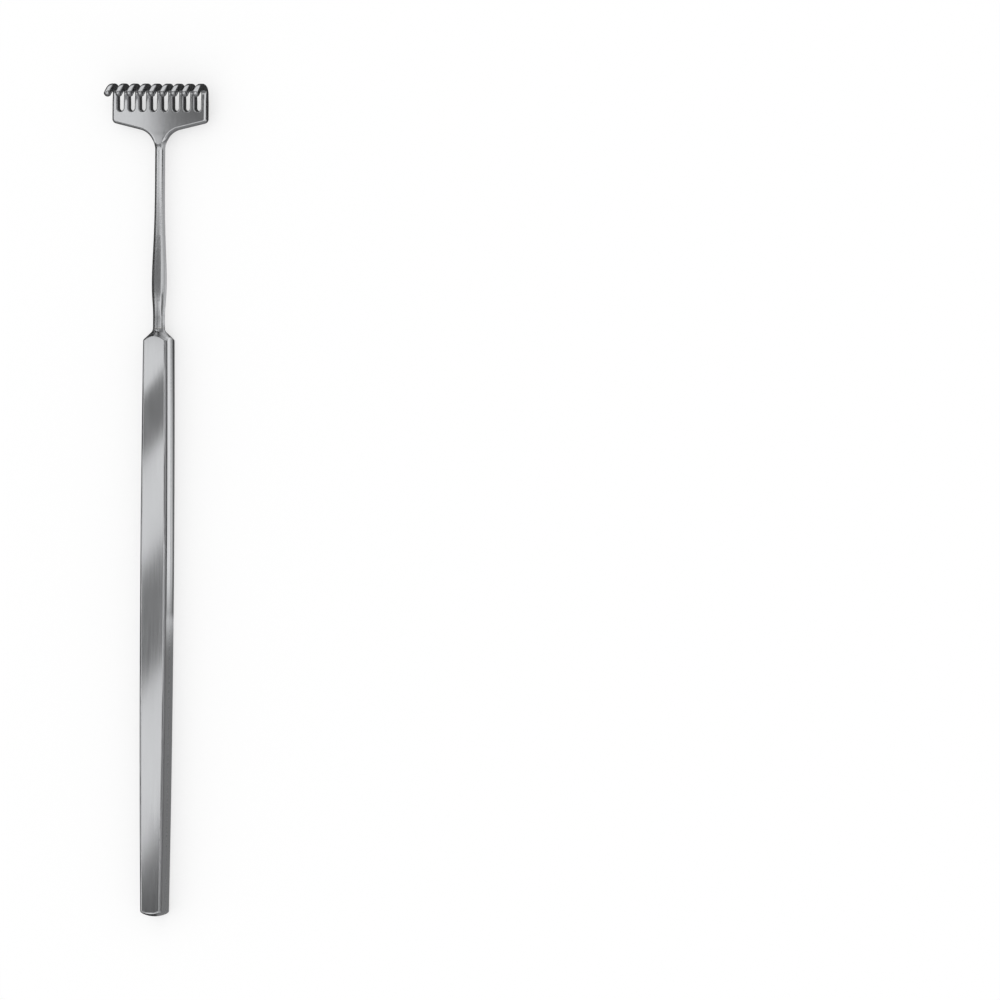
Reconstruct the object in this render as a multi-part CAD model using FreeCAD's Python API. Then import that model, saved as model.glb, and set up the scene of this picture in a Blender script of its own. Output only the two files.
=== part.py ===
import FreeCAD, Part
import math
import os

# Hand-held rake retractor, for drawing back the edge of a wound.
#
# A slotted steel head ends in nine blunt prongs that curl forwards. Below the slots its flanks run in
# to a slender round shank. The shank's tang is pinned and soldered in a ferrule, and the ferrule closes
# the top of a hollow four-sided handle. The handle is two pressed half shells, welded along both sides,
# with a plug in its end. Nothing on it moves.
#
# Frame, in millimetres: the retractor lies on the flat back of its handle. +Z is up, the way the prongs
# curl, +Y runs along the handle to the prongs, and X is across the head. The origin is on the handle's
# back, half way along the handle.

V = FreeCAD.Vector
ACROSS = V(1, 0, 0)
ALONG = V(0, 1, 0)
UP = V(0, 0, 1)

# Handle, a hollow bar whose sides swell a little below the shoulder
HANDLE_LENGTH = 113.0
HANDLE_THICKNESS = 4.5
HANDLE_TOP_WIDTH = 4.95
HANDLE_BELLY_WIDTH = 5.5
HANDLE_END_WIDTH = 4.4
BELLY_FROM_END = 66.5
HANDLE_EDGE_RADIUS = 0.55
SHELL_WALL = 0.6

# Ends of the handle: the turned shoulder, and the dome
TRUMPET_RADIUS = 1.2
CONE_ANGLE = 47.0
SHOULDER_EDGE_RADIUS = 0.12
DOME_RADIUS = 5.4
DOME_EDGE_RADIUS = 0.3

# Pieces inside the handle
SPIGOT_LENGTH = 12.0
PLUG_LENGTH = 6.0
BUSH_LENGTH = 4.0
TANG_BELOW_BUSH = 1.5
TANG_LENGTH = 30.0
TANG_RADIUS = 0.8
TANG_CHAMFER = 0.3
PIN_RADIUS = 0.35
PIN_FROM_SPIGOT_END = 3.0
SLIP_CLEARANCE = 0.02

# Silver solder, each ring or frame in its own groove
SOLDER_DEPTH = 0.3
SOLDER_WIDTH = 0.5
SPIGOT_SOLDER_FROM_END = 5.5
TANG_SOLDER_FROM_END = 8.0
PLUG_SOLDER_FROM_END = 2.5

# Shank, turned with a slight baluster above the handle
SHANK_LENGTH = 34.2
WAIST_RADIUS = 1.15
WAIST_LENGTH = 2.3
BULGE_RADIUS = 1.355
BULGE_FROM_HANDLE = 6.0
MIDDLE_RADIUS = 1.2
MIDDLE_FROM_HANDLE = 16.0
NECK_RADIUS = 0.97
NECK_STRAIGHT_LENGTH = 6.0
NECK_SPIGOT_RADIUS = 0.5
NECK_SPIGOT_LENGTH = 2.0
NECK_SPIGOT_CHAMFER = 0.15

# Head plate
HEAD_LENGTH = 12.75
PLATE_THICKNESS = 1.5
PLATE_FROM_NECK = 3.6
NECK_BLANK_THICKNESS = 2.4
OUTLINE_EDGE_RADIUS = 0.62
FLANK_RADIUS = 4.0
LOWER_EDGE_SLOPE = 12.9
CORNER_RADIUS = 0.9

# Prongs, the fingers between the slots
PRONG_COUNT = 9
PRONG_WIDTH = 1.15
OUTER_PRONG_WIDTH = 1.3
PRONG_THICKNESS = 1.3
SLOT_WIDTH = 1.15
SLOT_FROM_NECK = 7.5
THINNING_FROM_NECK = 8.9
SLOT_EDGE_RADIUS = 0.35
BEND_RADIUS = 1.4
CREST_LENGTH = 0.4
DROOP_RADIUS = 2.9
DROOP_ANGLE = 38.0
TIP_LENGTH = 1.65
TIP_DOME_RADIUS = 0.75
TIP_EDGE_RADIUS = 0.3

# Places that follow from the sizes
AXIS_HEIGHT = HANDLE_THICKNESS / 2
HANDLE_END = -HANDLE_LENGTH / 2
SHOULDER = HANDLE_LENGTH / 2
SPIGOT_END = SHOULDER - SPIGOT_LENGTH
TANG_END = SHOULDER - TANG_LENGTH
NECK = SHOULDER + SHANK_LENGTH
PLUG_INNER_END = HANDLE_END + PLUG_LENGTH
PRONG_PITCH = PRONG_WIDTH + SLOT_WIDTH
HEAD_WIDTH = (PRONG_COUNT - 2) * PRONG_PITCH + SLOT_WIDTH + 2 * OUTER_PRONG_WIDTH
BEND_START = HEAD_LENGTH - PRONG_THICKNESS / 2 - BEND_RADIUS

# Cutting tools reach this far past the metal, and two places nearer than the other are the same
SPARE = 1.0
SAME = 1e-4


def line(start, end):
    return Part.LineSegment(start, end).toShape()


def arc(start, middle, end):
    return Part.Arc(start, middle, end).toShape()


def smooth_curve(points):
    """A curve through the points that leaves the first and reaches the last straight along the axis."""
    curve = Part.BSplineCurve()
    curve.interpolate(Points=points, InitialTangent=ALONG, FinalTangent=ALONG)
    return curve.toShape()


def face_inside(edges):
    return Part.Face(Part.Wire(Part.__sortEdges__(edges)))


def turned(edges):
    """Turns a half profile about the Y axis, with X as the radius."""
    return face_inside(edges).revolve(V(0, 0, 0), ALONG, 360)


def mirrored(point):
    return V(-point.x, point.y, point.z)


def on_axis(shape):
    """Lifts a shape that was drawn round the Y axis on to the handle's axis."""
    return shape.translated(UP * AXIS_HEIGHT)


def round_bar(radius, low_y, high_y):
    return on_axis(Part.makeCylinder(radius, high_y - low_y, V(0, low_y, 0), ALONG))


def four_sided_bar(inset):
    """The handle's bar with sharp edges, a little over long, every side set in by the inset.

    Its long sides are smooth curves through the half widths at the end, the belly and the shoulder."""
    stations = (
        (HANDLE_END_WIDTH, HANDLE_END - SPARE),
        (HANDLE_BELLY_WIDTH, HANDLE_END + BELLY_FROM_END),
        (HANDLE_TOP_WIDTH, SHOULDER + SPARE),
    )
    right = [V(width / 2 - inset, y, inset) for width, y in stations]
    left = [mirrored(point) for point in right]
    sides = []
    for points in (right, left):
        curve = Part.BSplineCurve()
        curve.interpolate(points)
        sides.append(curve.toShape())
    ends = [line(right[0], left[0]), line(right[-1], left[-1])]
    return face_inside(sides + ends).extrude(UP * (HANDLE_THICKNESS - 2 * inset))


def length_between(shape, low_y, high_y):
    """The stretch of a handle piece between two stations."""
    reach = HANDLE_BELLY_WIDTH + HANDLE_THICKNESS
    slab = Part.makeBox(2 * reach, high_y - low_y, 2 * reach, V(-reach, low_y, -reach))
    return shape.common(slab)


def lathe_envelope():
    """What the lathe and the grinder leave: trumpet and cone at the shoulder, and the domed end."""
    outer = HANDLE_BELLY_WIDTH + HANDLE_THICKNESS
    cone = math.radians(CONE_ANGLE)
    waist = V(WAIST_RADIUS, SHOULDER, 0)
    centre = waist + ACROSS * TRUMPET_RADIUS
    trumpet_middle = centre - V(math.cos(cone / 2), math.sin(cone / 2), 0) * TRUMPET_RADIUS
    cone_top = centre - V(math.cos(cone), math.sin(cone), 0) * TRUMPET_RADIUS
    cone_foot = V(outer, cone_top.y - (outer - cone_top.x) / math.tan(cone), 0)
    dome_centre = V(0, HANDLE_END + DOME_RADIUS, 0)
    dome_side = dome_centre + ACROSS * DOME_RADIUS
    dome_middle = dome_centre + (ACROSS - ALONG) * math.sqrt(0.5) * DOME_RADIUS
    dome_bottom = V(0, HANDLE_END, 0)
    grip_foot = V(outer, dome_centre.y, 0)
    axis_top = V(0, SHOULDER, 0)
    profile = [
        line(axis_top, waist),
        arc(waist, trumpet_middle, cone_top),
        line(cone_top, cone_foot),
        line(cone_foot, grip_foot),
        line(grip_foot, dome_side),
        arc(dome_side, dome_middle, dome_bottom),
        line(dome_bottom, axis_top),
    ]
    return on_axis(turned(profile))


def handle_outside():
    """The whole outside of the handle as one solid: every piece that shows there is cut from it."""
    bar = four_sided_bar(0)
    long_edges = [e for e in bar.Edges if e.BoundBox.YLength > HANDLE_LENGTH / 2]
    bar = bar.makeFillet(HANDLE_EDGE_RADIUS, long_edges)
    outside = bar.common(lathe_envelope())
    dome_rim = ground_edges(outside, HANDLE_END, HANDLE_END + DOME_RADIUS)
    outside = outside.makeFillet(DOME_EDGE_RADIUS, dome_rim)
    cone_top = SHOULDER - TRUMPET_RADIUS * math.sin(math.radians(CONE_ANGLE))
    arches = ground_edges(outside, SHOULDER - HANDLE_BELLY_WIDTH, cone_top)
    return outside.makeFillet(SHOULDER_EDGE_RADIUS, arches)


def ground_edges(shape, low_y, high_y):
    """The edges between two stations that the lathe left, without the seams on the middle plane."""
    edges = []
    for edge in shape.Edges:
        reach = edge.BoundBox
        on_middle = reach.ZLength < SAME and abs(reach.Center.z - AXIS_HEIGHT) < SAME
        if not edge.Degenerated and not on_middle and low_y < reach.YMin and reach.YMax < high_y - SAME:
            edges.append(edge)
    return edges


def inner_block(clearance, low_y, high_y):
    """A block that fills the hollow between the shells, less the clearance on every side."""
    return length_between(four_sided_bar(SHELL_WALL + clearance), low_y, high_y)


def handle_shell(outside, high):
    """One of the two pressed half shells: the front one above the middle plane, the rear one below."""
    tube = outside.cut(four_sided_bar(SHELL_WALL))
    low_z = AXIS_HEIGHT if high else 0
    half = Part.makeBox(2 * HANDLE_BELLY_WIDTH, HANDLE_LENGTH, AXIS_HEIGHT)
    half.translate(V(-HANDLE_BELLY_WIDTH, HANDLE_END, low_z))
    return tube.common(half)


def solder_frame(low_y):
    """A square frame of solder in its groove round a block, out to the shells' inner walls."""
    high_y = low_y + SOLDER_WIDTH
    return inner_block(0, low_y, high_y).cut(inner_block(SOLDER_DEPTH, low_y, high_y))


def spigot_solder():
    return solder_frame(SPIGOT_END + SPIGOT_SOLDER_FROM_END)


def plug_solder():
    return solder_frame(PLUG_INNER_END - PLUG_SOLDER_FROM_END - SOLDER_WIDTH)


def tang_solder():
    """The ring of solder round the tang, in a groove of the ferrule's bore."""
    low_y = SPIGOT_END + TANG_SOLDER_FROM_END
    high_y = low_y + SOLDER_WIDTH
    ring = round_bar(TANG_RADIUS + SOLDER_DEPTH, low_y, high_y)
    return ring.cut(round_bar(TANG_RADIUS, low_y, high_y))


def tang_bore(low_y, high_y):
    return round_bar(TANG_RADIUS + SLIP_CLEARANCE, low_y, high_y)


def pin_bar(radius, low_z, high_z):
    """A bar across the ferrule's spigot and the tang, where the pin goes."""
    foot = V(0, SPIGOT_END + PIN_FROM_SPIGOT_END, low_z)
    return Part.makeCylinder(radius, high_z - low_z, foot, UP)


def tang_pin():
    """The pin through the spigot and the tang, trapped between the shells."""
    gap = SHELL_WALL + SLIP_CLEARANCE
    return pin_bar(PIN_RADIUS, gap, HANDLE_THICKNESS - gap)


def pin_hole():
    return pin_bar(PIN_RADIUS + SLIP_CLEARANCE, 0, HANDLE_THICKNESS)


def neck_ferrule(outside):
    """The turned ferrule: a square spigot inside the shells, and the trumpet that meets the shank."""
    blank = outside.common(inner_block(SLIP_CLEARANCE, SPIGOT_END, SHOULDER))
    bored = blank.cut(tang_bore(SPIGOT_END, SHOULDER)).cut(pin_hole())
    return bored.cut(spigot_solder()).cut(tang_solder())


def tang_bush():
    """The spacer that centres the tang's lower end in the hollow handle."""
    low_y = TANG_END + TANG_BELOW_BUSH
    high_y = low_y + BUSH_LENGTH
    return inner_block(SLIP_CLEARANCE, low_y, high_y).cut(tang_bore(low_y, high_y))


def end_plug(outside):
    """The plug that closes the handle's end, domed with the shells."""
    block = inner_block(SLIP_CLEARANCE, HANDLE_END, PLUG_INNER_END)
    return outside.common(block).cut(plug_solder())


def shank():
    """One turning: tang, waist, bulge and slender neck, with a small spigot that centres the head."""
    waist_foot = V(WAIST_RADIUS, SHOULDER, 0)
    neck_foot = V(NECK_RADIUS, NECK - NECK_STRAIGHT_LENGTH, 0)
    neck_top = V(NECK_RADIUS, NECK, 0)
    baluster = [
        V(WAIST_RADIUS, SHOULDER + WAIST_LENGTH, 0),
        V(BULGE_RADIUS, SHOULDER + BULGE_FROM_HANDLE, 0),
        V(MIDDLE_RADIUS, SHOULDER + MIDDLE_FROM_HANDLE, 0),
        neck_foot,
    ]
    spigot_top = NECK + NECK_SPIGOT_LENGTH
    corners = [
        neck_foot,
        neck_top,
        V(NECK_SPIGOT_RADIUS, NECK, 0),
        V(NECK_SPIGOT_RADIUS, spigot_top - NECK_SPIGOT_CHAMFER, 0),
        V(NECK_SPIGOT_RADIUS - NECK_SPIGOT_CHAMFER, spigot_top, 0),
        V(0, spigot_top, 0),
        V(0, TANG_END, 0),
        V(TANG_RADIUS - TANG_CHAMFER, TANG_END, 0),
        V(TANG_RADIUS, TANG_END + TANG_CHAMFER, 0),
        V(TANG_RADIUS, SHOULDER, 0),
        waist_foot,
        baluster[0],
    ]
    edges = [line(start, end) for start, end in zip(corners, corners[1:])]
    edges.append(smooth_curve(baluster))
    return on_axis(turned(edges)).cut(pin_hole())


def flank():
    """The concave arc from the neck's side to the lower edge: its start, middle, end and centre."""
    slope = math.radians(LOWER_EDGE_SLOPE)
    centre = V(NECK_RADIUS + FLANK_RADIUS, 0, 0)

    def at(angle):
        return centre + V(-math.cos(angle), math.sin(angle), 0) * FLANK_RADIUS

    full = math.pi / 2 - slope
    return at(0), at(full / 2), at(full), centre


def plate_outline():
    """The head's outline in its own plane, from the neck at the origin up past the prongs' roots."""
    slope = math.radians(LOWER_EDGE_SLOPE)
    neck, flank_middle, flank_end, _ = flank()
    side = HEAD_WIDTH / 2
    corner = V(side, flank_end.y + (side - flank_end.x) * math.tan(slope), 0)
    tangent = CORNER_RADIUS * math.tan((math.pi / 2 - slope) / 2)
    corner_start = corner - V(math.cos(slope), math.sin(slope), 0) * tangent
    corner_end = corner + ALONG * tangent
    corner_centre = corner_end - ACROSS * CORNER_RADIUS
    corner_middle = corner_centre + (corner - corner_centre).normalize() * CORNER_RADIUS
    top = V(side, BEND_START + SPARE, 0)
    stretches = [
        (neck, flank_middle, flank_end),
        (flank_end, corner_start),
        (corner_start, corner_middle, corner_end),
        (corner_end, top),
    ]
    edges = [line(neck, mirrored(neck)), line(top, mirrored(top))]
    for points in stretches:
        draw = arc if len(points) == 3 else line
        edges.append(draw(*points))
        edges.append(draw(*[mirrored(p) for p in points]))
    return face_inside(edges)


def plate_thickness():
    """The head seen from the side: thick at the neck, flat in the plate, a little thinner at the prongs."""
    left = -HEAD_WIDTH
    neck = V(left, 0, NECK_BLANK_THICKNESS / 2)
    plate = V(left, PLATE_FROM_NECK, PLATE_THICKNESS / 2)
    thinning = V(left, THINNING_FROM_NECK, PLATE_THICKNESS / 2)
    root = V(left, BEND_START, PRONG_THICKNESS / 2)
    top = V(left, BEND_START + SPARE, PRONG_THICKNESS / 2)
    front = [
        smooth_curve([neck, plate]),
        line(plate, thinning),
        smooth_curve([thinning, root]),
        line(root, top),
    ]
    rear = [edge.mirror(V(0, 0, 0), UP) for edge in front]
    neck_end = line(neck, neck - UP * NECK_BLANK_THICKNESS)
    top_end = line(top, top - UP * PRONG_THICKNESS)
    return face_inside(front + rear + [neck_end, top_end]).extrude(ACROSS * 2 * HEAD_WIDTH)


def neck_horn():
    """The flank turned about the axis: it rounds the neck where the plate grows out of it."""
    neck, _, _, centre = flank()
    half_way = centre + (ALONG - ACROSS) * math.sqrt(0.5) * FLANK_RADIUS
    crown = centre + ALONG * FLANK_RADIUS
    reach = centre.x + HEAD_WIDTH
    far = HEAD_LENGTH + SPARE
    profile = [
        line(V(0, 0, 0), neck),
        arc(neck, half_way, crown),
        line(crown, V(reach, crown.y, 0)),
        line(V(reach, crown.y, 0), V(reach, far, 0)),
        line(V(reach, far, 0), V(0, far, 0)),
        line(V(0, far, 0), V(0, 0, 0)),
    ]
    return turned(profile)


def slot_cutter(x):
    """One slot between two prongs, with a round bottom."""
    radius = SLOT_WIDTH / 2
    depth = 2 * PLATE_THICKNESS
    centre_y = SLOT_FROM_NECK + radius
    bottom = Part.makeCylinder(radius, depth, V(x, centre_y, -depth / 2), UP)
    length = BEND_START + 2 * SPARE - centre_y
    straight = Part.makeBox(SLOT_WIDTH, length, depth, V(x - radius, centre_y, -depth / 2))
    return bottom.fuse(straight).removeSplitter()


def lengthwise_rims(shape, low_y, side_x):
    """The edges along the plate's front and back faces, above one station and inside one side."""
    rims = []
    for edge in shape.Edges:
        if edge.Degenerated:
            continue
        reach = edge.BoundBox
        crosswise = reach.YLength < SAME
        upright = abs(reach.Center.z) < PRONG_THICKNESS / 4
        outside = abs(reach.Center.x) + reach.XLength / 2 > side_x
        below = reach.YMin < low_y - SAME
        if not (crosswise or upright or outside or below):
            rims.append(edge)
    return rims


def slotted_plate():
    """The flat of the head with its rounded edges and its slots, cut level where the prongs start."""
    blank = plate_outline().extrude(UP * 2 * NECK_BLANK_THICKNESS)
    blank = blank.translated(-UP * NECK_BLANK_THICKNESS).common(plate_thickness())
    plate = blank.makeFillet(OUTLINE_EDGE_RADIUS, lengthwise_rims(blank, 0, HEAD_WIDTH))
    middle = (PRONG_COUNT - 2) / 2
    slots = [slot_cutter((i - middle) * PRONG_PITCH) for i in range(PRONG_COUNT - 1)]
    plate = plate.cut(Part.makeCompound(slots))
    inside = HEAD_WIDTH / 2 - OUTLINE_EDGE_RADIUS - SAME
    plate = plate.makeFillet(SLOT_EDGE_RADIUS, lengthwise_rims(plate, SLOT_FROM_NECK, inside))
    level = Part.makeBox(2 * HEAD_WIDTH, BEND_START, 2 * HEAD_WIDTH, V(-HEAD_WIDTH, 0, -HEAD_WIDTH))
    return plate.common(neck_horn()).common(level)


def blunt_tip(root):
    """A prong's straight end with a dome ground on it, drawn as if it stood up from the root."""
    straight = root.extrude(ALONG * TIP_LENGTH)
    middle = root.CenterOfMass
    dome_centre = middle + ALONG * (TIP_LENGTH - TIP_DOME_RADIUS)
    ball = Part.makeSphere(TIP_DOME_RADIUS, dome_centre)
    bar = Part.makeCylinder(TIP_DOME_RADIUS, TIP_LENGTH, dome_centre - ALONG * TIP_LENGTH, ALONG)
    tip = straight.common(bar.fuse(ball))
    rim = []
    for edge in tip.Edges:
        halfway = edge.valueAt((edge.FirstParameter + edge.LastParameter) / 2)
        on_ball = abs((halfway - dome_centre).Length - TIP_DOME_RADIUS) < SAME
        off_root = halfway.y > BEND_START + SAME
        if on_ball and off_root:
            rim.append(edge)
    return tip.makeFillet(TIP_EDGE_RADIUS, rim)


def prong(root):
    """One prong, swept from its root on the plate: round the bend, over the crest and down the droop."""
    bend_centre = V(0, BEND_START, BEND_RADIUS)
    droop_centre = V(0, BEND_START + BEND_RADIUS - DROOP_RADIUS, BEND_RADIUS + CREST_LENGTH)
    bend = root.revolve(bend_centre, ACROSS, 90)
    bent = root.rotated(bend_centre, ACROSS, 90)
    crest = bent.extrude(UP * CREST_LENGTH)
    droop = bent.translated(UP * CREST_LENGTH).revolve(droop_centre, ACROSS, DROOP_ANGLE)
    tip = blunt_tip(root).rotated(bend_centre, ACROSS, 90).translated(UP * CREST_LENGTH)
    return [bend, crest, droop, tip.rotated(droop_centre, ACROSS, DROOP_ANGLE)]


def rake_head():
    """The plate and its nine prongs in one piece, bored at the neck for the shank's spigot."""
    plate = slotted_plate()
    roots = [face for face in plate.Faces if face.BoundBox.YMin > BEND_START - SAME]
    pieces = []
    for root in roots:
        pieces += prong(root)
    head = plate.fuse(pieces).removeSplitter()
    socket_length = NECK_SPIGOT_LENGTH + SLIP_CLEARANCE
    socket = Part.makeCylinder(NECK_SPIGOT_RADIUS + SLIP_CLEARANCE, socket_length, V(0, 0, 0), ALONG)
    return on_axis(head.cut(socket)).translated(ALONG * NECK)


def build():
    outside = handle_outside()
    return {
        "handle_front_shell": handle_shell(outside, True),
        "handle_rear_shell": handle_shell(outside, False),
        "end_plug": end_plug(outside),
        "plug_solder": plug_solder(),
        "neck_ferrule": neck_ferrule(outside),
        "spigot_solder": spigot_solder(),
        "tang_solder": tang_solder(),
        "tang_pin": tang_pin(),
        "tang_bush": tang_bush(),
        "shank": shank(),
        "rake_head": rake_head(),
    }


if __name__ == "__main__":
    os.makedirs("parts", exist_ok=True)
    for name, shape in build().items():
        print(name, shape.ShapeType, len(shape.Solids), shape.isValid(), round(shape.Volume, 3))
        shape.exportStep("parts/" + name + ".step")
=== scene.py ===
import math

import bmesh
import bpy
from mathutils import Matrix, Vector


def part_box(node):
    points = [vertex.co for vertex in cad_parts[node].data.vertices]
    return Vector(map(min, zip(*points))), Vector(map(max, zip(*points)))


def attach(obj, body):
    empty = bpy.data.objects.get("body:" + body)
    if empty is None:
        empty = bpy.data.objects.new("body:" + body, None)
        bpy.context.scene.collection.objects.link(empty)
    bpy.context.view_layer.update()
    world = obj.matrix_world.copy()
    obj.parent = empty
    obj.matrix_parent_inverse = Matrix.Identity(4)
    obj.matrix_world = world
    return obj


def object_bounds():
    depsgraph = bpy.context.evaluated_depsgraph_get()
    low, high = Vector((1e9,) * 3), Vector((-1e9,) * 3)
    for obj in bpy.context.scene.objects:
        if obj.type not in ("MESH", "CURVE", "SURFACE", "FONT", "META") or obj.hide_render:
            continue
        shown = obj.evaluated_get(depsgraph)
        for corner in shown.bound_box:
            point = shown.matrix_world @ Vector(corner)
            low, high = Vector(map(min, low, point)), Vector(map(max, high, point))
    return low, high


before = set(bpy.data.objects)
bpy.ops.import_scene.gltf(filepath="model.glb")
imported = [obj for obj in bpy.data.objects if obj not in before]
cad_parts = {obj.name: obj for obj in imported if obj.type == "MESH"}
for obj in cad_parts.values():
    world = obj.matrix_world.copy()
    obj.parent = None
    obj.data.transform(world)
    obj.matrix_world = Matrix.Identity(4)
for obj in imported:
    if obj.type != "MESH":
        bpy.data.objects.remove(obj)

# %% [markdown]
# # A blunt nine-prong rake retractor in satin steel
# The real one is a hand-held surgical instrument, 160 mm long, all in stainless steel: a flat rake
# whose nine prongs are curled into hooks, a thin turned shank, and a hollow four-sided handle.
# The solids are loaded first and never moved. This lesson finishes them: it makes the steel, adds the
# joining marks that a finisher leaves behind, and lights the whole as a catalogue photographer would.

MM = 0.001
cad_low, cad_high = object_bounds()
cad_size = cad_high - cad_low
print("solids, mm:", [round(side / MM, 2) for side in cad_size])

# %% [markdown]
# ## Landmarks
# Everything that follows is placed from the solids themselves. The handle runs from its domed end to
# the shoulder where the shank comes out, the shank from there to the neck, and the rake sits on top.
# The two half shells of the handle meet at the height of the axis, where the front one begins.

# %% Landmarks along the instrument
handle_low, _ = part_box("handle_front_shell")
_, ferrule_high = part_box("neck_ferrule")
head_low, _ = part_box("rake_head")

END_Y = cad_low.y
SHOULDER_Y = ferrule_high.y
NECK_Y = head_low.y
TOP_Y = cad_high.y
AXIS_Z = handle_low.z
MIDDLE = Vector((0, (END_Y + TOP_Y) / 2, AXIS_Z))
print("shoulder, neck and top, mm:", [round(y / MM, 1) for y in (SHOULDER_Y, NECK_Y, TOP_Y)])

# %% [markdown]
# ## The camera
# The photograph looks down on the instrument from its right-hand side, with the head at the top of the
# picture. A very long lens from eight metres away keeps the long sides parallel. The instrument stands
# well left of the middle, so the camera is moved sideways rather than shifted: a shifted lens would
# spoil the other views.

# %% Camera
VIEW_ANGLE = math.radians(23.0)
FRAME_WIDTH = 192.08 * MM
OFF_CENTRE = 65.76 * MM
ROLL = math.radians(0.43)
CAMERA_DISTANCE = 8.0
FARTHEST_SEEN = 40.0
SENSOR_IN_MM = 36.0


def add_camera():
    tilt = VIEW_ANGLE - math.atan(OFF_CENTRE / CAMERA_DISTANCE)
    forward = Vector((-math.sin(tilt), 0, -math.cos(tilt)))
    right = Vector((math.cos(tilt), 0, -math.sin(tilt)))
    up = Vector((0, 1, 0))
    leaning_right = right * math.cos(ROLL) + up * math.sin(ROLL)
    leaning_up = up * math.cos(ROLL) - right * math.sin(ROLL)
    data = bpy.data.cameras.new("camera")
    data.sensor_width = SENSOR_IN_MM
    data.lens = SENSOR_IN_MM * CAMERA_DISTANCE / FRAME_WIDTH
    data.clip_end = FARTHEST_SEEN
    camera = bpy.data.objects.new("camera", data)
    bpy.context.scene.collection.objects.link(camera)
    place = MIDDLE - forward * CAMERA_DISTANCE + leaning_right * OFF_CENTRE
    turn = Matrix((leaning_right, leaning_up, -forward)).transposed().to_4x4()
    camera.matrix_world = Matrix.Translation(place) @ turn
    bpy.context.scene.camera = camera
    return camera


camera = add_camera()
print("lens, mm:", round(camera.data.lens))

# %% [markdown]
# ## A small kit for shader nodes
# Each finish is a network of nodes. These helpers add a node, set its plain numbers and join it up, so
# that a recipe reads as a few lines of arithmetic on the place where a ray meets the steel. Places are
# in the object's own coordinates, so that a pattern stays with the piece.

# %% Node helpers
# The Mix node's colour sockets come after its plain and its vector ones.
MIX_FIRST, MIX_SECOND, MIX_RESULT = 6, 7, 2


class Recipe:
    """A material under construction, with short calls for the nodes that the finishes share."""

    def __init__(self, name):
        self.material = bpy.data.materials.new(name)
        self.material.use_nodes = True
        self.nodes = self.material.node_tree.nodes
        self.links = self.material.node_tree.links
        self.nodes.clear()
        self.output = self.nodes.new("ShaderNodeOutputMaterial")
        coordinates = self.nodes.new("ShaderNodeTexCoord")
        self.place = coordinates.outputs["Object"]
        self.x, self.y, self.z = self.split(self.place)
        self.across, self.along, self.upward = self.split(coordinates.outputs["Normal"])

    def add(self, kind, **settings):
        node = self.nodes.new(kind)
        for setting, value in settings.items():
            setattr(node, setting, value)
        return node

    def join(self, source, target):
        self.links.new(source, target)

    def split(self, vector):
        node = self.add("ShaderNodeSeparateXYZ")
        self.join(vector, node.inputs[0])
        return node.outputs["X"], node.outputs["Y"], node.outputs["Z"]

    def math(self, operation, *values):
        node = self.add("ShaderNodeMath", operation=operation)
        for socket, value in zip(node.inputs, values):
            if isinstance(value, (int, float)):
                socket.default_value = value
            else:
                self.join(value, socket)
        return node.outputs["Value"]

    def times(self, product, *factors):
        for factor in factors:
            product = self.math("MULTIPLY", product, factor)
        return product

    def ramp(self, value, low, high, new_low=0.0, new_high=1.0, kind="SMOOTHSTEP"):
        node = self.add("ShaderNodeMapRange", interpolation_type=kind)
        self.join(value, node.inputs["Value"])
        ends = {"From Min": low, "From Max": high, "To Min": new_low, "To Max": new_high}
        for name, number in ends.items():
            node.inputs[name].default_value = number
        return node.outputs["Result"]

    def noise(self, per_metre, detail):
        """Cloudy noise from 0 to 1, with its own number of blots per metre along each axis."""
        stretch = self.add("ShaderNodeMapping")
        stretch.inputs["Scale"].default_value = per_metre
        self.join(self.place, stretch.inputs["Vector"])
        node = self.add("ShaderNodeTexNoise", noise_dimensions="3D")
        node.inputs["Scale"].default_value = 1.0
        node.inputs["Detail"].default_value = detail
        self.join(stretch.outputs[0], node.inputs["Vector"])
        return node.outputs["Fac"]

    def blend(self, amount, first, second):
        node = self.add("ShaderNodeMix", data_type="RGBA")
        self.join(amount, node.inputs["Factor"])
        node.inputs[MIX_FIRST].default_value = first
        node.inputs[MIX_SECOND].default_value = second
        return node.outputs[MIX_RESULT]

    def metal(self, colour, roughness, height):
        """The finished material: bare metal with this colour, roughness and relief in metres."""
        shader = self.add("ShaderNodeBsdfPrincipled")
        shader.inputs["Metallic"].default_value = 1.0
        self.join(colour, shader.inputs["Base Color"])
        self.join(roughness, shader.inputs["Roughness"])
        bump = self.add("ShaderNodeBump")
        bump.inputs["Strength"].default_value = 1.0
        bump.inputs["Distance"].default_value = 1.0
        self.join(height, bump.inputs["Height"])
        self.join(bump.outputs["Normal"], shader.inputs["Normal"])
        return self.finished(shader)

    def finished(self, shader):
        self.join(shader.outputs[0], self.output.inputs["Surface"])
        return self.material


# %% [markdown]
# ## Satin steel
# All of the steel is ground on a belt and then brushed. That leaves fine lines along the piece, a
# cloudy change from duller to brighter places, and edges that handling and cleaning have rubbed
# smooth. The lines are a noise stretched along Y, which shapes both the roughness and a shallow bump.
# The rubbed edges are found where the surface faces neither straight up nor straight sideways: there
# the product of those two parts of its direction is large.

# %% Steel recipe
STEEL = (0.60, 0.607, 0.62, 1)
# An edge has its own colour, and a change of roughness.
RUBBED_STEEL = (0.66, 0.667, 0.68, 1)
RUBBED_EDGE = (RUBBED_STEEL, -0.04)
EDGE_BEGINS = 0.12
EDGE_IS_FULL = 0.4
# Noise seldom leaves this middle range, so this is what a ramp spreads out.
NOISE_LOW = 0.3
NOISE_HIGH = 0.7
CLOUDS = (170, 60, 170)
CLOUD_DETAIL = 2.0
FINE_DETAIL = 3.0
LINE_DEPTH = 0.0012 * MM
UNEVENNESS = 0.03


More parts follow.
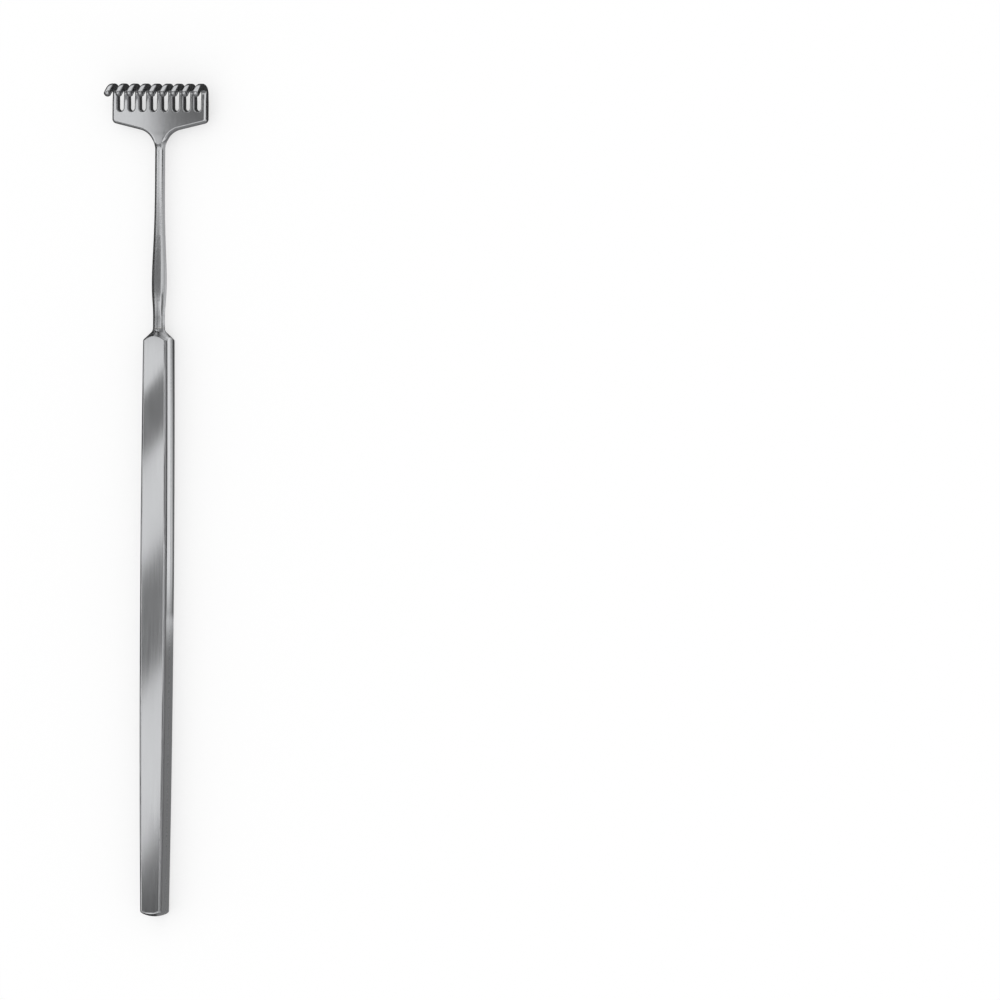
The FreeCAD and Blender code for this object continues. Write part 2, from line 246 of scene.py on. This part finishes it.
def between(recipe, direction):
    """Large where the surface faces between upwards and this direction, and 0 at either."""
    return recipe.math("ABSOLUTE", recipe.times(direction, recipe.upward))


def long_edges(recipe):
    """1 on the edges between flat faces and flat sides, and 0 on the faces and sides themselves."""
    return recipe.ramp(between(recipe, recipe.across), EDGE_BEGINS, EDGE_IS_FULL)


def satin_steel(
    name, lines, line_depth=LINE_DEPTH, roughness=0.2, edges=long_edges, corner=RUBBED_EDGE, form=None
):
    """Brushed steel. lines are the brush lines per metre, corner is the colour and the change of
    roughness at the edges, and form gives the larger shape that the belt has left."""
    recipe = Recipe(name)
    brush = recipe.noise(lines, FINE_DETAIL)
    cloud = recipe.noise(CLOUDS, CLOUD_DETAIL)
    edge = edges(recipe)
    edge_colour, edge_roughness = corner

    smooth, rough = roughness - UNEVENNESS, roughness + UNEVENNESS
    brushed = recipe.ramp(brush, NOISE_LOW, NOISE_HIGH, smooth, rough, "LINEAR")
    clouded = recipe.ramp(cloud, NOISE_LOW, NOISE_HIGH, -UNEVENNESS, UNEVENNESS, "LINEAR")
    on_faces = recipe.math("ADD", brushed, clouded)
    everywhere = recipe.math("ADD", on_faces, recipe.times(edge, edge_roughness))

    height = recipe.times(brush, line_depth)
    if form:
        height = recipe.math("ADD", height, form(recipe))
    return recipe.metal(recipe.blend(edge, STEEL, edge_colour), everywhere, height)


print("brush lines, mm deep:", round(LINE_DEPTH / MM, 4))

# %% [markdown]
# ## The belt's mark on the handle
# The faces of a hand-ground handle are not quite flat. The belt rocks from side to side as it travels,
# so the face rolls gently to the left and to the right, and each roll catches the light as a long soft
# patch. The rolls are short below the shoulder and grow towards the end, so their beat follows the
# square root of the distance in millimetres, and they cross the face a little aslant. On the whole the
# face leans slightly to the left, which makes the light patches longer than the dark ones. The rounded
# long edges are left rougher by the belt, and their colour is darkened as a painted shade line.

# %% Handle finish
HANDLE_LINES = (7000, 120, 7000)
# These two are square roots of millimetres: where the rolls start, and half of a roll's length.
FIRST_ROLL = 2.3
ROLL_STEP = 1.7
ROLL_SLOPE = 0.07
ROLL_SLANT = 0.6
LEAN_TO_LEFT = 0.15
FACE_BEGINS = 0.88
FACE_IS_FULL = 0.97
# Painted shade: the handle's rounded long edges get this darker colour. Their added roughness is the
# belt's own.
HANDLE_PAINTED_SHADE_STEEL = (0.42, 0.425, 0.435, 1)
HANDLE_PAINTED_SHADE_EDGE = (HANDLE_PAINTED_SHADE_STEEL, 0.33)


def rolled_face(recipe):
    """Height in metres of the handle's rolling face, which is light where it leans to the left."""
    below = recipe.math("SUBTRACT", SHOULDER_Y, recipe.y)
    below = recipe.math("ADD", below, recipe.times(recipe.x, ROLL_SLANT))
    below = recipe.math("MAXIMUM", recipe.times(below, 1 / MM), FIRST_ROLL**2)
    beat = recipe.math("SUBTRACT", recipe.math("SQRT", below), FIRST_ROLL)
    lean = recipe.math("COSINE", recipe.times(beat, math.pi / ROLL_STEP))
    lean = recipe.math("ADD", lean, LEAN_TO_LEFT)
    face = recipe.ramp(recipe.math("ABSOLUTE", recipe.upward), FACE_BEGINS, FACE_IS_FULL)
    return recipe.times(lean, recipe.x, ROLL_SLOPE, face)


handle_finish = satin_steel(
    "handle_steel_with_painted_shade", HANDLE_LINES, roughness=0.19, corner=HANDLE_PAINTED_SHADE_EDGE, form=rolled_face
)
print("handle finish:", handle_finish.name)

# %% [markdown]
# ## The rake
# The rake's plate was polished on a soft wheel, which wears it a little lower towards its sides. The
# light therefore fades slowly from one side to the other, where a truly flat plate would show one even
# tone. The hooks are rounder than the plate, and the wheel can't reach the edges of the slots, nor the
# tips and the edges that face the handle. Those stay rougher, and their colour is painted darker as
# painted shade, which draws their dark outlines. Both crowns are a fall that grows with the square of
# the distance from a middle line.

# %% Head finish
HEAD_LINES = (8000, 400, 8000)
# The crowns are metres of fall per square metre of distance.
PLATE_CROWN = 5.0
HOOK_CROWN = 300.0
PRONG_PITCH = 2.3 * MM
HOOKS_FROM_Z = 3.3 * MM
HOOK_CROWN_GROWS = 0.7 * MM
LOW_EDGES_FADE = 0.4 * MM
COMB_FROM_Y = NECK_Y + 6.8 * MM
COMB_HALF_WIDTH = 8.9 * MM
SOFT_ALONG = 0.2 * MM
SOFT_ACROSS = 0.15 * MM
FRONT_BEGINS = -0.2
FRONT_IS_FULL = -0.5
# Painted shade: the edges of the slots, the tips and the edges that face the handle get this dark
# colour.
RAKE_PAINTED_SHADE_STEEL = (0.24, 0.243, 0.25, 1)
RAKE_PAINTED_SHADE_EDGE = (RAKE_PAINTED_SHADE_STEEL, 0.25)


def crowned_plate(recipe):
    """Height in metres of the polished plate and hooks, each highest along its own middle."""
    plate = recipe.times(recipe.x, recipe.x, -PLATE_CROWN)
    from_middle = recipe.math("PINGPONG", recipe.x, PRONG_PITCH / 2)
    hooked = recipe.ramp(recipe.z, HOOKS_FROM_Z, HOOKS_FROM_Z + HOOK_CROWN_GROWS)
    hooks = recipe.times(from_middle, from_middle, -HOOK_CROWN, hooked)
    return recipe.math("ADD", plate, hooks)


# This mask carries the rake's painted shade as well as its rougher edges.
def comb_edges_with_painted_shade(recipe):
    """1 on the edges of the slots and prongs and on all that faces the handle, and 0 elsewhere."""
    low = recipe.ramp(recipe.z, HOOKS_FROM_Z - LOW_EDGES_FADE, HOOKS_FROM_Z, 1.0, 0.0)
    lengthways = recipe.times(between(recipe, recipe.along), low)
    either = recipe.math("MAXIMUM", between(recipe, recipe.across), lengthways)
    edge = recipe.ramp(either, EDGE_BEGINS, EDGE_IS_FULL)
    side, start = COMB_HALF_WIDTH, COMB_FROM_Y
    out = recipe.math("ABSOLUTE", recipe.x)
    inside = recipe.ramp(out, side - SOFT_ACROSS, side + SOFT_ACROSS, 1.0, 0.0)
    above = recipe.ramp(recipe.y, start - SOFT_ALONG, start + SOFT_ALONG)
    front = recipe.ramp(recipe.along, FRONT_IS_FULL, FRONT_BEGINS, 1.0, 0.0)
    return recipe.math("MAXIMUM", recipe.times(inside, above, edge), front)


head_finish = satin_steel(
    "rake_steel_with_painted_shade", HEAD_LINES, edges=comb_edges_with_painted_shade, corner=RAKE_PAINTED_SHADE_EDGE, form=crowned_plate
)
print("head finish:", head_finish.name)

# %% [markdown]
# ## The shank
# The shank is drawn lengthwise through polishing cloth, so its lines run along it, and the cloth wears
# a narrow flat along its front. The flat fades out at the neck, where the shank meets the rake.

# %% Shank finish
SHANK_LINES = (9000, 300, 9000)
FLAT_FROM = 0.05 * MM
FLAT_TO = 0.6 * MM
FLAT_DEPTH = 0.03 * MM
FLAT_FADES_FROM = NECK_Y - 15 * MM
FLAT_FADES_TO = NECK_Y - 5 * MM


def worn_flat(recipe):
    """Height in metres that takes the roundness out of a strip along the shank, up to the neck."""
    strip = recipe.ramp(recipe.x, FLAT_FROM, FLAT_TO, kind="LINEAR")
    depth = recipe.ramp(recipe.y, FLAT_FADES_FROM, FLAT_FADES_TO, FLAT_DEPTH, 0.0)
    return recipe.times(strip, strip, depth)


shank_finish = satin_steel("shank_satin_steel", SHANK_LINES, roughness=0.25, form=worn_flat)
print("shank finish:", shank_finish.name)

# %% [markdown]
# ## Turned steel and silver solder
# The pieces inside the handle are never polished. They keep the fine rings of the lathe tool, so their
# lines run round them. Silver solder flows and freezes: it is warmer in colour than steel, and softly
# uneven rather than scratched.

# %% Inner finishes
LATHE_LINES = (300, 9000, 300)
SOLDER = (0.78, 0.755, 0.69, 1)
DULL_SOLDER = (0.62, 0.60, 0.55, 1)
FLOW = (2200, 2200, 2200)
FLOW_DEPTH = 0.02 * MM
TARNISH_BEGINS = 0.4
TARNISH_IS_FULL = 0.65
BRIGHT_ROUGHNESS = 0.26
DULL_ROUGHNESS = 0.42


def silver_solder(name):
    recipe = Recipe(name)
    flow = recipe.noise(FLOW, FINE_DETAIL)
    tarnish = recipe.ramp(flow, TARNISH_BEGINS, TARNISH_IS_FULL)
    colour = recipe.blend(tarnish, SOLDER, DULL_SOLDER)
    roughness = recipe.ramp(flow, NOISE_LOW, NOISE_HIGH, BRIGHT_ROUGHNESS, DULL_ROUGHNESS, "LINEAR")
    return recipe.metal(colour, roughness, recipe.times(flow, FLOW_DEPTH))


turned_finish = satin_steel("turned_steel", LATHE_LINES, line_depth=0.004 * MM, roughness=0.32)
solder_finish = silver_solder("silver_solder")
print("inner finishes:", turned_finish.name, "and", solder_finish.name)

# %% [markdown]
# ## Finishing the solids
# Every solid comes in with a plain material, which is swapped here for the finish of its trade. The
# ferrule and the plug are ground together with the closed handle, so they share its finish.

# %% Finishes for the solids
FINISHES = {
    "handle_front_shell": handle_finish,
    "handle_rear_shell": handle_finish,
    "end_plug": handle_finish,
    "neck_ferrule": handle_finish,
    "shank": shank_finish,
    "rake_head": head_finish,
    "tang_bush": turned_finish,
    "tang_pin": turned_finish,
    "tang_solder": solder_finish,
    "spigot_solder": solder_finish,
    "plug_solder": solder_finish,
}
for node, finish in FINISHES.items():
    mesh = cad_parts[node].data
    mesh.materials.clear()
    mesh.materials.append(finish)
print("finished nodes:", len(FINISHES))

# %% [markdown]
# ## The dressed seams
# The two half shells of the handle meet along the middle of its sides. They are welded edge to edge
# without filler and ground flush, so all that is left is a hairline that shines a little differently.
# The hairline follows the handle's curved side exactly if it is cut out of the shells themselves: a
# copy of their skin is sliced above and below the seam, and lifted by a few thousandths of a millimetre.

# %% Seam hairlines
WELD_LINES = (900, 4500, 900)
SEAM_WIDTH = 0.16 * MM
SEAM_LIFT = 0.004 * MM
SEAM_THICKNESS = 4 * SEAM_LIFT
SAME_POINT = 0.001 * MM
SKIN_NORMAL = 0.8


def add_object(name, work, finish):
    """Turns a bmesh into an object at the origin, with one finish."""
    mesh = bpy.data.meshes.new(name)
    work.to_mesh(mesh)
    work.free()
    mesh.materials.append(finish)
    thing = bpy.data.objects.new(name, mesh)
    bpy.context.scene.collection.objects.link(thing)
    return thing


def new_piece(name, work, finish):
    """A smooth piece of the instrument, which rides with it."""
    for face in work.faces:
        face.smooth = True
    piece = add_object(name, work, finish)
    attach(piece, "root")
    return piece


def keep_slice(work, low_z, high_z):
    """Cuts away all that lies below the one level and above the other."""
    for height, lower in ((low_z, True), (high_z, False)):
        bmesh.ops.bisect_plane(
            work,
            geom=work.verts[:] + work.edges[:] + work.faces[:],
            plane_co=(0, 0, height),
            plane_no=(0, 0, 1),
            clear_inner=lower,
            clear_outer=not lower,
        )


def seam_hairline(name, side):
    """The strip of skin along one side of the handle: -1 is its left side, and 1 its right."""
    work = bmesh.new()
    for node in ("handle_front_shell", "handle_rear_shell"):
        work.from_mesh(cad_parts[node].data)
    keep_slice(work, AXIS_Z - SEAM_WIDTH / 2, AXIS_Z + SEAM_WIDTH / 2)
    work.normal_update()
    inner = [face for face in work.faces if face.normal.x * side < SKIN_NORMAL]
    bmesh.ops.delete(work, geom=inner, context="FACES")
    bmesh.ops.remove_doubles(work, verts=work.verts[:], dist=SAME_POINT)
    work.normal_update()
    for vertex in work.verts:
        vertex.co.x += side * SEAM_LIFT
    bmesh.ops.solidify(work, geom=work.faces[:], thickness=SEAM_THICKNESS)
    return new_piece(name, work, seam_finish)


seam_finish = satin_steel("dressed_weld", WELD_LINES, line_depth=0.003 * MM, roughness=0.3)
seams = [seam_hairline("seam_left", -1), seam_hairline("seam_right", 1)]
print("seam faces:", [len(seam.data.polygons) for seam in seams])

# %% [markdown]
# ## The solder hairline at the shoulder
# The shank's tang is soldered in the ferrule, and a fine ring of the solder shows where the shank comes
# out. A small circle is spun once round the handle's axis, sunk so far that only a hundredth of a
# millimetre of it stands proud.

# %% Solder ring
WAIST_RADIUS = 1.15 * MM
RING_WIRE_RADIUS = 0.06 * MM
RING_PROUD = 0.008 * MM


def solder_ring(name):
    work = bmesh.new()
    place = Vector((WAIST_RADIUS + RING_PROUD - RING_WIRE_RADIUS, SHOULDER_Y, AXIS_Z))
    bmesh.ops.create_circle(
        work,
        segments=12,
        radius=RING_WIRE_RADIUS,
        matrix=Matrix.Translation(place),
    )
    bmesh.ops.spin(
        work,
        geom=work.verts[:] + work.edges[:],
        cent=(0, 0, AXIS_Z),
        axis=(0, 1, 0),
        angle=2 * math.pi,
        steps=64,
        use_merge=True,
    )
    bmesh.ops.recalc_face_normals(work, faces=work.faces[:])
    return new_piece(name, work, solder_finish)


ring = solder_ring("shoulder_solder_line")
print("solder ring faces:", len(ring.data.polygons))

# %% [markdown]
# ## Floor and tent
# Polished steel shows its surroundings, so it is photographed in a tent: white paper below and an even
# white glow all round. Paper under an even glow of 1 looks as bright as its own colour, and the little
# light that it lacks to full white is added for the eye, for gloss and for glass alike, so that the
# soft shadow under the instrument stays.

# %% Floor and world
FLOOR_SIZE = 12.0
PAPER = 0.4
PAPER_GLOW = 0.6


def unit_sheet(place):
    """A sheet of one metre by one metre, which a matrix takes to its size and place."""
    work = bmesh.new()
    bmesh.ops.create_grid(work, x_segments=1, y_segments=1, size=0.5, matrix=place)
    return work


def level_sheet(low_x, high_x, low_y, high_y, z):
    size = Matrix.Diagonal((high_x - low_x, high_y - low_y, 1, 1))
    middle = Matrix.Translation(((low_x + high_x) / 2, (low_y + high_y) / 2, z))
    return unit_sheet(middle @ size)


def add_to_set(name, work, finish):
    """A thing that belongs to the studio and not to the instrument."""
    thing = add_object(name, work, finish)
    return thing


def white_paper():
    recipe = Recipe("white_paper")
    paper = recipe.add("ShaderNodeBsdfDiffuse")
    paper.inputs["Color"].default_value = (PAPER, PAPER, PAPER, 1)
    ray = recipe.add("ShaderNodeLightPath")
    seen = recipe.math("MAXIMUM", ray.outputs["Is Camera Ray"], ray.outputs["Is Glossy Ray"])
    seen = recipe.math("MAXIMUM", seen, ray.outputs["Is Transmission Ray"])
    glow = recipe.add("ShaderNodeEmission")
    recipe.join(recipe.times(seen, PAPER_GLOW), glow.inputs["Strength"])
    both = recipe.add("ShaderNodeAddShader")
    recipe.join(paper.outputs[0], both.inputs[0])
    recipe.join(glow.outputs[0], both.inputs[1])
    return recipe.finished(both)


def add_world():
    world = bpy.data.worlds.new("white_tent")
    bpy.context.scene.world = world
    world.use_nodes = True
    nodes = world.node_tree.nodes
    nodes.clear()
    output = nodes.new("ShaderNodeOutputWorld")
    background = nodes.new("ShaderNodeBackground")
    background.inputs["Color"].default_value = (1, 1, 1, 1)
    background.inputs["Strength"].default_value = 1.0
    world.node_tree.links.new(background.outputs[0], output.inputs["Surface"])


reach = FLOOR_SIZE / 2
add_to_set("floor", level_sheet(-reach, reach, -reach, reach, 0), white_paper())
add_world()
bpy.context.scene.view_settings.view_transform = "Standard"
print("floor, m:", FLOOR_SIZE)

# %% [markdown]
# ## Cards that draw the steel
# In an even white tent, steel has no edges. A photographer therefore puts dark cards where the steel
# can see them and the camera can't. A card here is a sheet that glows evenly with its tone, fades at
# its rim as if it were out of focus, and exists for reflections alone, so that the paper stays white
# and its shadow clean. The first card is a long gap in the tent overhead. It lies just left of straight
# up, where the flat faces look.

# %% A level card and the gap overhead
ABOVE = 3.0
GAP_TONE = 0.21
GAP_RIM_X = 0.36
GAP_RIM_Y = 0.3


def rim_fade(recipe, axis, clear, full):
    """0 from where the card is clear, and 1 from where it is full, whichever side that is on."""
    place = getattr(recipe, axis)
    if clear < full:
        return recipe.ramp(place, clear, full)
    return recipe.ramp(place, full, clear, 1.0, 0.0)


def card_finish(name, tone, fades):
    recipe = Recipe(name)
    cover = recipe.times(*(rim_fade(recipe, *fade) for fade in fades))
    empty = recipe.add("ShaderNodeBsdfTransparent")
    glow = recipe.add("ShaderNodeEmission")
    glow.inputs["Strength"].default_value = tone
    mixed = recipe.add("ShaderNodeMixShader")
    recipe.join(cover, mixed.inputs[0])
    recipe.join(empty.outputs[0], mixed.inputs[1])
    recipe.join(glow.outputs[0], mixed.inputs[2])
    return recipe.finished(mixed)


def add_card(name, work, tone, fades):
    card = add_to_set(name, work, card_finish(name, tone, fades))
    card.visible_camera = False
    card.visible_diffuse = False
    card.visible_transmission = False
    card.visible_volume_scatter = False
    card.visible_shadow = False
    return card


def level_card(name, tone, low_x, high_x, low_y, high_y, z, rim_x, rim_y):
    fades = [
        ("x", low_x, low_x + rim_x),
        ("x", high_x, high_x - rim_x),
        ("y", low_y, low_y + rim_y),
        ("y", high_y, high_y - rim_y),
    ]
    return add_card(name, level_sheet(low_x, high_x, low_y, high_y, z), tone, fades)


def overhead(angle):
    """How far from the middle a card overhead lies to be seen at this angle from upright."""
    return ABOVE * math.tan(math.radians(angle))


gap_across = overhead(-26), overhead(0)
gap_along = overhead(-12), overhead(60)
level_card("overhead_gap", GAP_TONE, *gap_across, *gap_along, ABOVE, GAP_RIM_X, GAP_RIM_Y)
print("gap overhead, m:", [round(place, 2) for place in gap_across + gap_along])

# %% [markdown]
# ## Small cards above the instrument
# Small cards hang close above single pieces. A grey one darkens the shank's front, a white one above
# the neck keeps the joint with the rake light, and two dark ones shade the rake's curled hooks and the
# last stretch of the handle.

# %% Hanging cards
# Each has its tone, and then in mm from the handle's middle its left, right, lower and upper edge, its
# height above the paper, and the width of its rim across and along.
HANGING_CARDS = {
    "grey_above_shank": (0.22, -96, 48, 55, 81, 40, 12, 3),
    "light_above_neck": (0.95, -28, 8, 79, 93, 39, 6, 2.5),
    "shade_above_rake": (0.15, -48, 14, 90, 120, 100, 14, 8),
    "shade_above_end": (0.08, -62, 220, -85, -46, 100, 14, 9),
}
for name, (tone, *sizes) in HANGING_CARDS.items():
    level_card(name, tone, *(size * MM for size in sizes))
print("hanging cards:", len(HANGING_CARDS))

# %% [markdown]
# ## A low wall, and a light beside the shank
# The sides of the steel look out low over the paper, where a dark wall stands round the set and gives
# them their dark outlines. It is a wide and low tube without ends, and it fades away towards the
# handle's end, so that the instrument also reads as bright steel from behind. A single light card
# stands upright to the right of the shank and draws the light line along its side.

# %% Upright cards
BLACK = 0.05
WALL_DISTANCE = 2.0
WALL_TOP_ANGLE = math.radians(32)
WALL_RIM = 0.35
WALL_CLEAR_Y = -0.7 * WALL_DISTANCE
WALL_FULL_Y = -0.3 * WALL_DISTANCE


def low_wall(name, height):
    work = bmesh.new()
    bmesh.ops.create_cone(
        work,
        cap_ends=False,
        segments=96,
        radius1=WALL_DISTANCE,
        radius2=WALL_DISTANCE,
        depth=height,
        matrix=Matrix.Translation((0, MIDDLE.y, height / 2)),
    )
    fades = [("z", height, height - WALL_RIM), ("y", WALL_CLEAR_Y, WALL_FULL_Y)]
    return add_card(name, work, BLACK, fades)


def upright_card(name, tone, x, low_y, high_y, height, rim):
    turn = Matrix.Rotation(math.radians(90), 4, "Y")
    size = Matrix.Diagonal((1, high_y - low_y, height, 1))
    middle = Matrix.Translation((x, (low_y + high_y) / 2, height / 2))
    fades = [("y", low_y, low_y + rim), ("y", high_y, high_y - rim), ("z", height, height - rim)]
    return add_card(name, unit_sheet(middle @ size @ turn), tone, fades)


wall_height = WALL_DISTANCE * math.tan(WALL_TOP_ANGLE)
low_wall("low_wall", wall_height)
upright_card(
    "light_beside_shank", 0.75, x=60 * MM, low_y=56 * MM, high_y=86 * MM, height=45 * MM, rim=5 * MM
)
print("wall, m:", round(wall_height, 2))

# %% [markdown]
# ## Strips on the paper
# The lower half of the steel sees the paper, so strips lie on it along both sides of the instrument.
# They are black, but grey beside the shank and dark grey beside the lower handle. A fine strip that is
# brighter than the paper lies beside the upper handle and lifts its side. The strips lie one above the
# other, a hundredth of a millimetre apart, so that no two of them share a level.

# %% Cards on the floor
JUST_ABOVE_FLOOR = 0.01 * MM
# Each has its tone, and then in mm from the handle's middle its left, right, lower and upper edge, and
# the width of its rim across and along.
FLOOR_CARDS = {
    "left_strip": (BLACK, -150, 0.5, -250, 114, 0.5, 6),
    "right_strip_head": (BLACK, -0.5, 150, 90, 114, 0.5, 5),
    "right_strip_shank": (0.5, -0.5, 150, 56, 93, 0.5, 3),
    "right_strip_handle": (BLACK, -0.5, 150, 0, 58, 0.5, 2),
    "right_strip_foot": (0.25, -0.5, 150, -250, 8, 0.5, 14),
    "right_lift": (1.15, 2.9, 5.2, -8, 78, 0.9, 20),
}
for level, (name, (tone, *sizes)) in enumerate(FLOOR_CARDS.items(), 1):
    *edges, rim_x, rim_y = (size * MM for size in sizes)
    level_card(name, tone, *edges, level * JUST_ABOVE_FLOOR, rim_x, rim_y)
print("cards on the floor:", len(FLOOR_CARDS))
